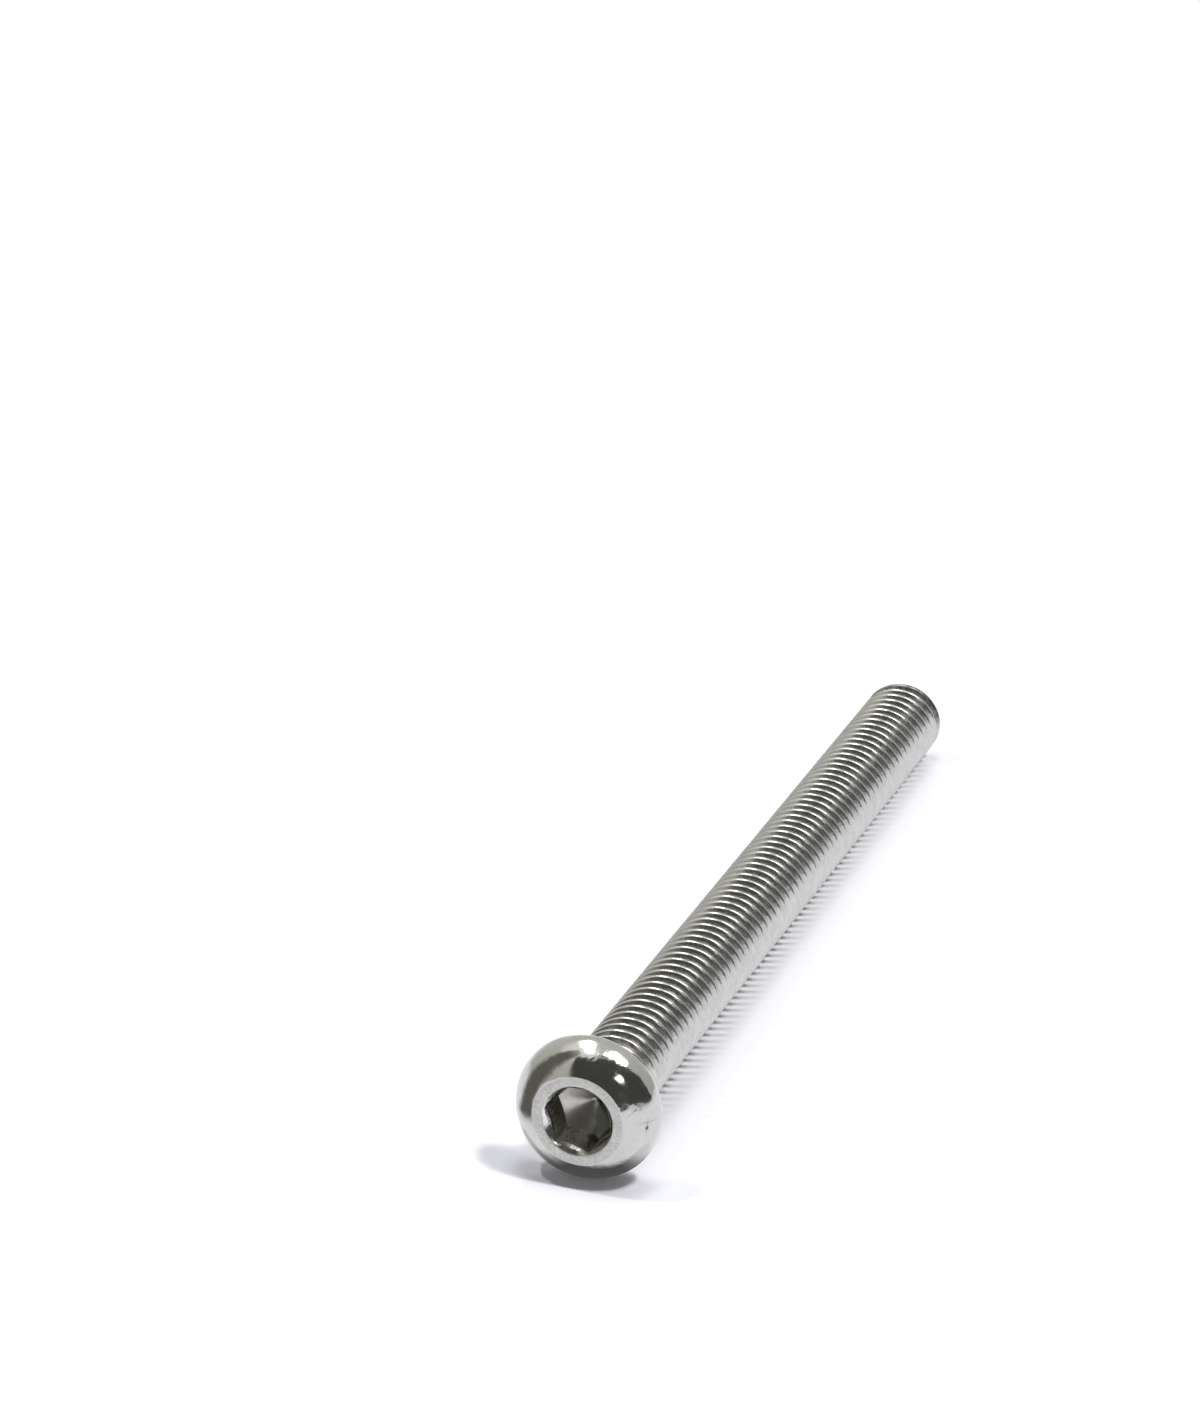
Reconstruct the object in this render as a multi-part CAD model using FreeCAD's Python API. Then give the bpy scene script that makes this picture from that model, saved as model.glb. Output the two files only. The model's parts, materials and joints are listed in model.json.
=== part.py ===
import FreeCAD, Part
import math
import os

# Button head screw with a hexagon socket, in millimetres, made in one piece.
# It lies on its side as it comes to rest: on the rim of its head and on the start of its tip.
# +X runs along the screw from head to tip, +Z is up, and the floor is z = 0.
# The origin is on the floor, under the middle of the whole.
# Along the screw's own axis, x = 0 is the bearing face, the head is at negative x and the tip
# at positive x. The shank has the outer diameter of its thread.

# Shank
screw_length = 70.0         # bearing face to tip
thread_diameter = 5.88      # over the crests of the thread
neck_diameter = 5.35        # bare wire between the head and the first turn of thread
neck_length = 1.15          # bearing face to the first full turn
thread_start_angle = 45.0   # degrees, slope of the cone where the neck swells into the thread
underhead_radius = 0.4      # hollow rounding between the bearing face and the neck
tip_diameter = 4.9          # flat end, before its edge is rounded
tip_cone_length = 0.8       # length of the cone at the tip
tip_edge_radius = 0.2       # rounding of the edge of the flat end

# Head
head_diameter = 10.0
head_height = 3.2           # bearing face to the flat ring round the socket
rim_radius = 0.7            # rounding from the widest circle to the bearing face

# Socket
socket_width = 4.0          # across the flats
socket_turn = 12.3          # degrees about the axis, from a flat that faces straight up
flat_depth = 2.6            # flat ring to the deep end of each flat, at its middle
bottom_angle = 125.0        # degrees, of the whole cone at the bottom
entry_margin = 0.166        # from the hexagon's corners out to the edge of the countersink
entry_angle = 80.0          # degrees, of the whole countersink cone
ring_width = 0.675          # flat ring between the countersink and the dome

# Cutting shapes reach this far past the faces that they open
overrun = 1.0

# Worked out from the sizes above
head_radius = head_diameter / 2
thread_radius = thread_diameter / 2
neck_radius = neck_diameter / 2
flat_radius = socket_width / 2
corner_radius = socket_width / math.sqrt(3)
entry_radius = corner_radius + entry_margin
ring_radius = entry_radius + ring_width

# The cone at the tip falls at cone_slope, and its rounded edge takes edge_reach off the flat end
tip_cone_start = screw_length - tip_cone_length
cone_slope = math.atan2(thread_radius - tip_diameter / 2, tip_cone_length)
edge_reach = tip_edge_radius * math.tan((math.pi / 2 - cone_slope) / 2)
flat_end_radius = tip_diameter / 2 - edge_reach

screw_axis = FreeCAD.Vector(1, 0, 0)
centre = FreeCAD.Vector(0, 0, 0)


def at(x, radius):
    """A point of the half section: x along the axis, radius away from it.

    The section is drawn in the horizontal plane, so that the seam of the turned form lies at
    its side, away from the floor.
    """
    return FreeCAD.Vector(x, radius, 0)


def line(start, end):
    return Part.LineSegment(start, end).toShape()


def arc(middle, radius, first, last):
    """Arc in the half section about middle. Angles in radians run from +x outwards."""
    def point(angle):
        return middle + at(radius * math.cos(angle), radius * math.sin(angle))
    return Part.Arc(point(first), point((first + last) / 2), point(last)).toShape()


def revolved(edges):
    """The solid that a closed half section sweeps in a full turn about the screw's axis."""
    return Part.Face(Part.Wire(edges)).revolve(centre, screw_axis, 360)


def head_edges():
    """Flat ring, dome and rim. The dome is one arc that meets the rim's rounding smoothly."""
    rise = head_height - rim_radius
    drop = head_radius - ring_radius
    dome_radius = (rise ** 2 + drop ** 2) / (2 * drop)
    dome_sweep = math.atan2(rise, dome_radius - drop)
    outwards = math.pi / 2
    return [
        line(at(-head_height, 0), at(-head_height, ring_radius)),
        arc(at(-rim_radius, head_radius - dome_radius), dome_radius, outwards + dome_sweep, outwards),
        arc(at(-rim_radius, head_radius - rim_radius), rim_radius, outwards, 0),
    ]


def neck_edges():
    """Bearing face, hollow rounding, bare neck and its swell into the thread."""
    swell = (thread_radius - neck_radius) / math.tan(math.radians(thread_start_angle))
    hollow_radius = neck_radius + underhead_radius
    return [
        line(at(0, head_radius - rim_radius), at(0, hollow_radius)),
        arc(at(underhead_radius, hollow_radius), underhead_radius, math.pi, 1.5 * math.pi),
        line(at(underhead_radius, neck_radius), at(neck_length - swell, neck_radius)),
        line(at(neck_length - swell, neck_radius), at(neck_length, thread_radius)),
    ]


def tip_edges():
    """Straight shank, cone and the flat end with its rounded edge."""
    cone_end = at(screw_length - edge_reach * math.cos(cone_slope),
                  tip_diameter / 2 + edge_reach * math.sin(cone_slope))
    edge_middle = at(screw_length - tip_edge_radius, flat_end_radius)
    return [
        line(at(neck_length, thread_radius), at(tip_cone_start, thread_radius)),
        line(at(tip_cone_start, thread_radius), cone_end),
        arc(edge_middle, tip_edge_radius, math.pi / 2 - cone_slope, 0),
        line(at(screw_length, flat_end_radius), at(screw_length, 0)),
    ]


def blank():
    """The whole turned form, before its socket."""
    axis_edge = line(at(screw_length, 0), at(-head_height, 0))
    return revolved(head_edges() + neck_edges() + tip_edges() + [axis_edge])


def hexagon_bar(start, end):
    """A hexagon prism along the screw's axis, turned to the socket's place."""
    corners = []
    for side in range(7):
        turn = math.radians(socket_turn + 60 * side + 30)
        corners.append(FreeCAD.Vector(start, -corner_radius * math.sin(turn),
                                      corner_radius * math.cos(turn)))
    return Part.Face(Part.makePolygon(corners)).extrude(FreeCAD.Vector(end - start, 0, 0))


def socket():
    """Hexagon flats that end on a cone, and the countersink at the mouth."""
    cone_spread = math.tan(math.radians(bottom_angle / 2))
    mouth = -head_height - overrun
    point = -head_height + flat_depth + flat_radius / cone_spread
    deep_cone = Part.makeCone((point - mouth) * cone_spread, 0, point - mouth, at(mouth, 0), screw_axis)
    entry_depth = entry_radius / math.tan(math.radians(entry_angle / 2))
    countersink = Part.makeCone(entry_radius, 0, entry_depth, at(-head_height, 0), screw_axis)
    return hexagon_bar(mouth, point + overrun).common(deep_cone).fuse(countersink)


def rest_tilt():
    """Angle in radians by which the axis falls from head to tip when the screw lies down.

    The floor touches the rim's rounding and the circle where the tip's cone starts.
    """
    span = tip_cone_start + rim_radius
    drop = head_radius - rim_radius - thread_radius
    return math.atan2(drop, span) + math.asin(rim_radius / math.hypot(drop, span))


def laid_down(solid):
    """Tilt the screw about +Y, set it on the floor and put its middle over the origin."""
    tilt = rest_tilt()
    sine = math.sin(tilt)
    cosine = math.cos(tilt)
    axis_height = rim_radius + (head_radius - rim_radius) * cosine - rim_radius * sine
    head_end = -head_height * cosine - ring_radius * sine
    tip_end = (screw_length - tip_edge_radius) * cosine + flat_end_radius * sine + tip_edge_radius
    placed = solid.copy()
    placed.rotate(centre, FreeCAD.Vector(0, 1, 0), math.degrees(tilt))
    placed.translate(FreeCAD.Vector(-(head_end + tip_end) / 2, 0, axis_height))
    return placed


screw = laid_down(blank().cut(socket()))
os.makedirs("parts", exist_ok=True)
screw.exportStep("parts/button_head_screw.step")
print("tilt in degrees", round(math.degrees(rest_tilt()), 4))
print("valid", screw.isValid(), "solids", len(screw.Solids), "volume", round(screw.Volume, 3))
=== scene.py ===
import json
import math

import bpy
import numpy as np
from bpy.props import FloatProperty, FloatVectorProperty, PointerProperty
from mathutils import Matrix, Vector


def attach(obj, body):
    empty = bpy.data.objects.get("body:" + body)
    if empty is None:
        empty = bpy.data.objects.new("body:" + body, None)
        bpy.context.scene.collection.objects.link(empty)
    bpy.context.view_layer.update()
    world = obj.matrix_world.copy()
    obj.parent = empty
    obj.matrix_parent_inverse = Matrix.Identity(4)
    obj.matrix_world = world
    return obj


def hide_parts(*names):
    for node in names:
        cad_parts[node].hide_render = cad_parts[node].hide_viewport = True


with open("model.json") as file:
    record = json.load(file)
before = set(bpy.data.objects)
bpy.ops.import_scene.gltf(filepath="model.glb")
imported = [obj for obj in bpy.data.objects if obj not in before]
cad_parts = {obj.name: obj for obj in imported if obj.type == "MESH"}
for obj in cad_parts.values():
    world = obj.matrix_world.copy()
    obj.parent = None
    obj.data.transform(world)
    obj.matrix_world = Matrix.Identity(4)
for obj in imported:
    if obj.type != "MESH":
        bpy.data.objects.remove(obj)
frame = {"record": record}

bl_info = {
    "name": "Button head screw",
    "version": (1, 0, 0),
    "blender": (4, 5, 0),
    "location": "3D View > Sidebar > Screw",
    "description": "A lying machine screw with a rolled thread, a hexagon socket and a pale stage",
    "category": "Object",
}

MOUNTS = {mount["name"]: mount for mount in frame["record"]["mounts"]}
SCREW_AXIS = np.array(MOUNTS["shank"]["axis"])
MOUTH = np.array(MOUNTS["hex_socket"]["pos_m"])
TILT = math.asin(-SCREW_AXIS[2])
BODY = "root"
NODE = "button_head_screw"
MILLIMETRE = 0.001
MOST_TRIANGLES = 200000


def length(name, default, description):
    return FloatProperty(name=name, description=description, default=default, min=0.0,
                         unit="LENGTH", precision=5)


def colour(name, default, description):
    return FloatVectorProperty(name=name, description=description, default=default, size=3,
                               subtype="COLOR", min=0.0, max=1.0)


def share(name, default, description):
    return FloatProperty(name=name, description=description, default=default, min=0.0, max=1.0,
                         subtype="FACTOR")


def angle(name, degrees, description):
    return FloatProperty(name=name, description=description, default=math.radians(degrees),
                         subtype="ANGLE", unit="ROTATION")


class ScrewSizes(bpy.types.PropertyGroup):
    """Sizes of the screw along and across its own axis, where x = 0 is the bearing face."""
    screw_length: length("Length", 0.070, "Bearing face to tip")
    thread_diameter: length("Thread diameter", 0.00588, "Over the crests")
    pitch: length("Pitch", 0.001, "From one crest to the next")
    crest_radius: length("Crest radius", 0.00020, "Rounding of the crests")
    root_radius: length("Root radius", 0.00012, "Rounding of the grooves")
    groove_depth: length("Groove depth", 0.000546, "Crest to groove bottom")
    thread_phase: angle("Thread phase", 0.0, "Turn of the thread about the axis")
    neck_diameter: length("Neck diameter", 0.00535, "Bare wire under the head")
    swell_start: length("Swell start", 0.0006, "Bearing face to where the thread begins to rise")
    swell_end: length("Swell end", 0.0015, "Bearing face to where the thread is full")
    underhead_radius: length("Underhead radius", 0.0004, "Hollow rounding under the head")
    tip_diameter: length("Tip diameter", 0.0049, "Flat end before its edge is rounded")
    tip_cone_length: length("Tip cone length", 0.0008, "Length of the cone at the tip")
    tip_edge_radius: length("Tip edge radius", 0.0002, "Rounding of the edge of the flat end")
    head_diameter: length("Head diameter", 0.010, "Widest circle of the head")
    head_height: length("Head height", 0.0032, "Bearing face to the flat ring")
    rim_radius: length("Rim radius", 0.0007, "Rounding from the rim to the bearing face")
    socket_width: length("Socket width", 0.004, "Across the flats")
    socket_turn: angle("Socket turn", 12.3, "About the axis, from a flat that faces straight up")
    flat_depth: length("Flat depth", 0.0026, "Flat ring to the deep end of a flat, at its middle")
    bottom_angle: angle("Bottom angle", 125.0, "Whole cone at the bottom of the socket")
    entry_bulge: share("Entry bulge", 0.05, "Rise of the burr in the countersink over its length")
    entry_margin: length("Entry margin", 0.000166, "Hexagon corner to the countersink's edge")
    entry_angle: angle("Entry angle", 80.0, "Whole cone of the countersink")
    ring_width: length("Ring width", 0.000675, "Flat ring between countersink and dome")


class SteelFinish(bpy.types.PropertyGroup):
    """Colours and gloss of the steel."""
    bright: colour("Bright steel", (0.57, 0.565, 0.54), "Polished dome and rim")
    rolled: colour("Rolled steel", (0.56, 0.55, 0.53), "Thread and neck")
    dull: colour("Dull steel", (0.60, 0.585, 0.555), "Flat ring and end face")
    pressed: colour("Pressed steel", (0.62, 0.595, 0.555), "Walls and bottom of the socket")
    polish: share("Polish roughness", 0.085, "Roughness of the dome")
    ring_roughness: share("Ring roughness", 0.45, "Roughness of the flat ring")
    thread_roughness: share("Crest roughness", 0.20, "Roughness of the thread's crests")
    flank_roughness: share("Flank roughness", 0.27, "Roughness of its flanks and roots")


class StageSettings(bpy.types.PropertyGroup):
    """Camera and floor."""
    floor_colour: colour("Floor", (0.93, 0.93, 0.93), "Pale floor")
    glow_share: share("Floor glow", 0.06, "Share of plain white in the floor")
    camera_distance: length("Camera distance", 0.481684, "Camera to the point it looks at")
    camera_azimuth: angle("Camera azimuth", -70.8256, "Round the screw, from the side at -Y")
    camera_elevation: angle("Camera elevation", 24.3456, "Above the floor")
    camera_roll: angle("Camera roll", 0.768, "About its own line of sight")


# Columns run round the axis: this many for each side of the hexagon, the outer two this far from
# its corners
SIDE_COLUMNS = 16
CORNER_EASE = math.radians(1.0)
# Where two surfaces meet in an edge, their outer rings stand this far from it
EDGE_EASE = 0.03 * MILLIMETRE
# Rings of points on each stretch of the half section, from the socket's point to the tip's middle
BOTTOM_RINGS = 8
WALL_RINGS = 10
BEVEL_RINGS = 11
FLAT_RINGS = 5
DOME_RINGS = 26
RIM_RINGS = 12
UNDER_RINGS = 4
HOLLOW_RINGS = 9
CONE_RINGS = 2
TIP_EDGE_RINGS = 7
END_RINGS = 9
# A rounded crest or root turns this far from its middle to the flank
ARC_END = math.pi / 3
# In pitches before the tip: where the groove begins to die out, where it is gone, and where the
# last ring of the thread stands
FADE_START = 1.35
FADE_END = 0.40
THREAD_END = 0.34
# Rows of the thread are laid out this many turns past both ends of the screw, then cut off
SPARE_TURNS = 3
# A thread point this close to the neck's or the tip's ring is drawn onto it
DRAWN_IN = 0.012 * MILLIMETRE
# The thread's slopes are worked out over this distance to both sides
SLOPE_STEP = 0.001 * MILLIMETRE


def column_angles(turn):
    """Angles of the columns in radians, right-handed about the axis from the upward direction."""
    side = np.linspace(CORNER_EASE, math.pi / 3 - CORNER_EASE, SIDE_COLUMNS)
    corners = turn + math.pi / 6 + math.pi / 3 * np.arange(6)
    return (corners[:, None] + side[None, :]).ravel()


def row(x, radius, angles):
    """One ring of points as a pair of arrays: distance along the axis and away from it."""
    return np.stack([np.broadcast_to(x, angles.shape), np.broadcast_to(radius, angles.shape)])


def run(start, end, count, ease_start=0.0, ease_end=0.0):
    """Rings on the straight line between two rings, without its ends. The first and last stand
    ease_start and ease_end away from the ends, and the rest are spread evenly between them."""
    span = np.hypot(*(end - start))
    first = ease_start / span if ease_start else np.full(span.shape, 1.0 / (count + 1))
    last = 1 - ease_end / span if ease_end else np.full(span.shape, count / (count + 1))
    steps = np.linspace(0.0, 1.0, count)[:, None]
    along = first[None, :] * (1 - steps) + last[None, :] * steps
    return start[None] + (end - start)[None] * along[:, None, :]


def bulged(start, end, count, bulge):
    """Rings between two rings that swell towards the axis: the straight line's point plus its
    left-hand normal times the share bulge of its length, halfway along, and falling off evenly
    to both ends."""
    span = end - start
    steps = np.linspace(0.0, 1.0, count + 2)[1:-1, None, None]
    normal = np.stack([span[1], -span[0]])
    rise = 2 * bulge * np.minimum(steps, 1 - steps)
    return start[None] + span[None] * steps - normal[None] * rise


def bow(x, radius, reach, first, last, count, angles):
    """Rings on a circular arc of the half section about the point (x, radius), both ends
    included. Angles in radians run from +x outwards."""
    around = np.linspace(first, last, count)
    rings = np.stack([x + reach * np.cos(around), radius + reach * np.sin(around)], axis=1)
    return np.broadcast_to(rings[:, :, None], (count, 2, angles.size))


def hexagon_radius(sizes, angles):
    """Distance from the axis to the hexagon's wall: half the width over the cosine of the angle
    from the middle of the nearest flat."""
    sixth = math.pi / 3
    off_middle = (angles - sizes.socket_turn + sixth / 2) % sixth - sixth / 2
    return sizes.socket_width / 2 / np.cos(off_middle)


def head_rows(sizes, angles):
    """Rings from the point of the socket over the head to the neck, and the finish of each."""
    front = -sizes.head_height
    wall = hexagon_radius(sizes, angles)
    spread = math.tan(sizes.bottom_angle / 2)
    point = front + sizes.flat_depth + sizes.socket_width / 2 / spread
    corner_radius = sizes.socket_width / math.sqrt(3)
    entry_radius = corner_radius + sizes.entry_margin
    ring_radius = entry_radius + sizes.ring_width
    head_radius = sizes.head_diameter / 2

    deepest = row(point, 0.0, angles)
    floor_edge = np.stack([point - wall / spread, wall])
    entry_edge = np.stack([front + (entry_radius - wall) / math.tan(sizes.entry_angle / 2), wall])
    mouth_edge = row(front, entry_radius, angles)
    ring_edge = row(front, ring_radius, angles)

    rise = sizes.head_height - sizes.rim_radius
    drop = head_radius - ring_radius
    dome_radius = (rise ** 2 + drop ** 2) / (2 * drop)
    dome_sweep = math.atan2(rise, dome_radius - drop)
    quarter = math.pi / 2
    dome = bow(-sizes.rim_radius, head_radius - dome_radius, dome_radius,
               quarter + dome_sweep - EDGE_EASE / dome_radius, quarter, DOME_RINGS, angles)
    rim = bow(-sizes.rim_radius, head_radius - sizes.rim_radius, sizes.rim_radius,
              quarter, 0.0, RIM_RINGS, angles)[1:]
    neck_radius = sizes.neck_diameter / 2
    hollow_radius = neck_radius + sizes.underhead_radius
    hollow = bow(sizes.underhead_radius, hollow_radius, sizes.underhead_radius,
                 math.pi, 1.5 * math.pi, HOLLOW_RINGS, angles)
    return [
        ("pressed", deepest[None]),
        ("pressed", run(deepest, floor_edge, BOTTOM_RINGS, 0.0, EDGE_EASE)),
        ("pressed", run(floor_edge, entry_edge, WALL_RINGS, EDGE_EASE, EDGE_EASE)),
        ("bevel", bulged(entry_edge, mouth_edge, BEVEL_RINGS, sizes.entry_bulge)),
        ("dull", run(mouth_edge, ring_edge, FLAT_RINGS, EDGE_EASE, EDGE_EASE)),
        ("bright", dome),
        ("bright", rim),
        ("under", run(rim[-1], hollow[0], UNDER_RINGS)),
        ("under", hollow),
    ]


def tip_rows(sizes, start, angles):
    """Rings from the end of the thread over the cone and the rounded edge to the flat end."""
    thread_radius = sizes.thread_diameter / 2
    tip_radius = sizes.tip_diameter / 2
    slope = math.atan2(thread_radius - tip_radius, sizes.tip_cone_length)
    reach = sizes.tip_edge_radius * math.tan((math.pi / 2 - slope) / 2)
    flat_radius = tip_radius - reach
    edge = bow(sizes.screw_length - sizes.tip_edge_radius, flat_radius, sizes.tip_edge_radius,
               math.pi / 2 - slope, 0.0, TIP_EDGE_RINGS, angles)
    middle = row(sizes.screw_length, 0.0, angles)
    return [
        ("rolled", run(start, edge[0], CONE_RINGS)),
        ("rolled", edge),
        ("cut", run(edge[-1], middle, END_RINGS)),
        ("cut", middle[None]),
    ]


def smooth(x, low, high):
    """0 below low, 1 above high, and 3t^2 - 2t^3 between them."""
    t = np.clip((x - low) / (high - low), 0.0, 1.0)
    return t * t * (3 - 2 * t)


def groove(sizes, off_crest):
    """Depth below the crest at a distance off_crest along the axis, up to half a pitch. Both
    flanks stand at 30 degrees to the radius, and round arcs join them at crest and root."""
    crest, root = sizes.crest_radius, sizes.root_radius
    crest_reach = crest * math.sin(ARC_END)
    root_reach = root * math.sin(ARC_END)
    off = np.abs(off_crest)
    off_root = sizes.pitch / 2 - off
    top = crest - np.sqrt(np.maximum(crest ** 2 - np.minimum(off, crest_reach) ** 2, 0.0))
    bottom = root - np.sqrt(np.maximum(root ** 2 - np.minimum(off_root, root_reach) ** 2, 0.0))
    flank_start = crest / 2
    flank_end = sizes.groove_depth - root / 2
    flank_run = sizes.pitch / 2 - crest_reach - root_reach
    flank = flank_start + (flank_end - flank_start) * (off - crest_reach) / flank_run
    return np.where(off < crest_reach, top,
                    np.where(off_root < root_reach, sizes.groove_depth - bottom, flank))


def thread_height(sizes, x, angles):
    """Distance of the threaded surface from the axis. The crest line climbs from the neck to the
    full diameter and follows the cone at the tip. The groove is cut below it to a depth that
    grows with it at the neck and dies out on the cone."""
    thread_radius = sizes.thread_diameter / 2
    neck_radius = sizes.neck_diameter / 2
    turns = (x / sizes.pitch - (angles - sizes.thread_phase) / (2 * math.pi) + 0.5) % 1.0 - 0.5
    swell = smooth(x, sizes.swell_start, sizes.swell_end)
    fade = 1 - smooth(x, sizes.screw_length - FADE_START * sizes.pitch,
                      sizes.screw_length - FADE_END * sizes.pitch)
    cone = (x - sizes.screw_length + sizes.tip_cone_length) / sizes.tip_cone_length
    crest_line = neck_radius + (thread_radius - neck_radius) * swell
    crest_line = crest_line - (thread_radius - sizes.tip_diameter / 2) * np.maximum(cone, 0.0)
    return crest_line - groove(sizes, turns * sizes.pitch) * swell * fade


def crest_offsets(sizes):
    """Where the rows of one turn stand along the axis, from its crest on: five on the rounded
    crest, one on each flank and five on the rounded root."""
    arc = np.sin(np.linspace(0.0, ARC_END, 3))
    crest = sizes.crest_radius * arc
    root = sizes.pitch / 2 - sizes.root_radius * arc[::-1]
    half = np.concatenate([crest, [(crest[-1] + root[0]) / 2], root])
    return np.concatenate([half, (sizes.pitch - half[::-1])[1:-1]])


def thread_grid(sizes, start, end, angles):
    """Rows that climb with the thread: each follows one line of the profile, so that after a
    whole turn a row meets the one a pitch further on. Gives x, which points lie before start,
    which lie beyond end, and how many rows make one turn."""
    offsets = crest_offsets(sizes)
    turns = np.arange(-SPARE_TURNS, int(sizes.screw_length / sizes.pitch) + SPARE_TURNS)
    along = (turns[:, None] * sizes.pitch + offsets[None, :]).ravel()
    climb = (angles - sizes.thread_phase) / (2 * math.pi) * sizes.pitch
    x = along[:, None] + climb[None, :]
    return x, x < start + DRAWN_IN, x > end - DRAWN_IN, offsets.size


def thread_normals(sizes, x, angles, height):
    """Normals of the threaded surface at points that stand height away from the axis: square to
    its slope along the axis, and to its slope round the axis over that height."""
    rise = (thread_height(sizes, x + SLOPE_STEP, angles)
            - thread_height(sizes, x - SLOPE_STEP, angles)) / (2 * SLOPE_STEP)
    turn_step = SLOPE_STEP / (sizes.thread_diameter / 2)
    swing = (thread_height(sizes, x, angles + turn_step)
             - thread_height(sizes, x, angles - turn_step)) / (2 * turn_step)
    swing = swing / height
    sine, cosine = np.sin(angles), np.cos(angles)
    normals = np.column_stack([-rise, -sine + swing * cosine, cosine + swing * sine])
    return normals / np.linalg.norm(normals, axis=1)[:, None]


def screw_surface(sizes):
    """The whole closed surface: points, triangles, the finish of each triangle and the normal of
    each point. Rings of the head and the tip close on themselves, and rows of the thread run on
    into the next turn. A thread point that falls before the neck's last ring or beyond the tip's
    first one is drawn onto that ring. Between two rows lies the finish of the later one."""
    angles = column_angles(sizes.socket_turn)
    count = angles.size
    head = head_rows(sizes, angles)
    neck_ring = head[-1][1][-1]
    thread_start = float(neck_ring[0, 0])
    thread_end = sizes.screw_length - THREAD_END * sizes.pitch
    last_x = np.full(count, thread_end)
    last_ring = np.stack([last_x, thread_height(sizes, last_x, angles)])
    tip = tip_rows(sizes, last_ring, angles)

    front = np.concatenate([rows for _, rows in head])
    back = np.concatenate([last_ring[None]] + [rows for _, rows in tip])
    x, before, beyond, per_turn = thread_grid(sizes, thread_start, thread_end, angles)
    inside = ~(before | beyond)
    height = thread_height(sizes, x, angles[None, :])

    # One number for each point: front rings, thread, back rings. Poles take one point each.
    ring_ids = np.arange(front.shape[0] * count).reshape(-1, count)
    thread_ids = np.full(x.shape, -1)
    thread_ids[inside] = ring_ids.size + np.arange(inside.sum())
    back_ids = ring_ids.size + inside.sum() + np.arange(back.shape[0] * count).reshape(-1, count)
    thread_ids = np.where(before, ring_ids[-1][None, :], thread_ids)
    thread_ids = np.where(beyond, back_ids[0][None, :], thread_ids)
    next_turn = np.concatenate([thread_ids[per_turn:, 0], thread_ids[-per_turn:, 0]])
    ring_ids[0] = ring_ids[0, 0]
    back_ids[-1] = back_ids[-1, 0]
    grid = np.concatenate([
        np.column_stack([ring_ids, ring_ids[:, :1]]),
        np.column_stack([thread_ids, next_turn]),
        np.column_stack([back_ids, back_ids[:, :1]]),
    ])
    order = list(FINISHES)
    stretches = head + [("rolled", x), ("rolled", last_ring[None])] + tip
    finishes = np.concatenate([np.full(rows.shape[0], order.index(name))
                               for name, rows in stretches])

    along = np.concatenate([front[:, 0].ravel(), x[inside], back[:, 0].ravel()])
    away = np.concatenate([front[:, 1].ravel(), height[inside], back[:, 1].ravel()])
    columns = np.broadcast_to(angles, x.shape)
    around = np.concatenate([np.tile(angles, front.shape[0]), columns[inside],
                             np.tile(angles, back.shape[0])])
    points = np.column_stack([along, -away * np.sin(around), away * np.cos(around)])

    a, b, c, d = grid[:-1, :-1], grid[1:, :-1], grid[1:, 1:], grid[:-1, 1:]
    finish = np.broadcast_to(finishes[1:, None], a.shape)
    triangles = np.concatenate([np.stack([a, d, c], -1).reshape(-1, 3),
                                np.stack([a, c, b], -1).reshape(-1, 3)])
    finish = np.concatenate([finish.ravel(), finish.ravel()])
    real = ((triangles[:, 0] != triangles[:, 1]) & (triangles[:, 1] != triangles[:, 2])
            & (triangles[:, 2] != triangles[:, 0]))
    triangles, finish = triangles[real], finish[real]
    normals = area_normals(points, triangles)
    on_thread = slice(ring_ids.size, ring_ids.size + inside.sum())
    normals[on_thread] = thread_normals(sizes, x[inside], columns[inside], height[inside])
    used, renumbered = np.unique(triangles, return_inverse=True)
    return points[used], renumbered.reshape(-1, 3), finish, normals[used]


def area_normals(points, triangles):
    """Normal of each point: the sum of its triangles' normals, each weighed by its area, so that
    a wide face keeps its direction up to the narrow eased edge beside it."""
    p, q, r = (points[triangles[:, k]] for k in range(3))
    faces = np.cross(q - p, r - p)
    total = np.zeros_like(points)
    for corner in range(3):
        np.add.at(total, triangles[:, corner], faces)
    size = np.linalg.norm(total, axis=1)
    size[size == 0] = 1.0
    return total / size[:, None]


def axes_of_screw():
    """Rotation whose columns are the screw's own x, y and z in the frame."""
    side = np.array([0.0, 1.0, 0.0])
    return np.column_stack([SCREW_AXIS, side, np.cross(SCREW_AXIS, side)])


def bearing_middle():
    """The middle of the bearing face in the frame."""
    return MOUTH + SCREW_AXIS * bpy.context.scene.screw_sizes.head_height


def new_object(name, data):
    thing = bpy.data.objects.new(name, data)
    bpy.context.scene.collection.objects.link(thing)
    return thing


def new_mesh_object(name, points, faces, materials, finish=None):
    mesh = bpy.data.meshes.new(name)
    mesh.from_pydata(points, [], faces)
    for material in materials:
        mesh.materials.append(material)
    if finish is not None:
        mesh.polygons.foreach_set("material_index", finish.astype(np.int32))
    mesh.update()
    return new_object(name, mesh)


def tinted(rgb, factor):
    """The colour times factor, which is one number or one for each channel."""
    return tuple(np.minimum(np.array(rgb) * factor, 1.0)) + (1.0,)


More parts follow.
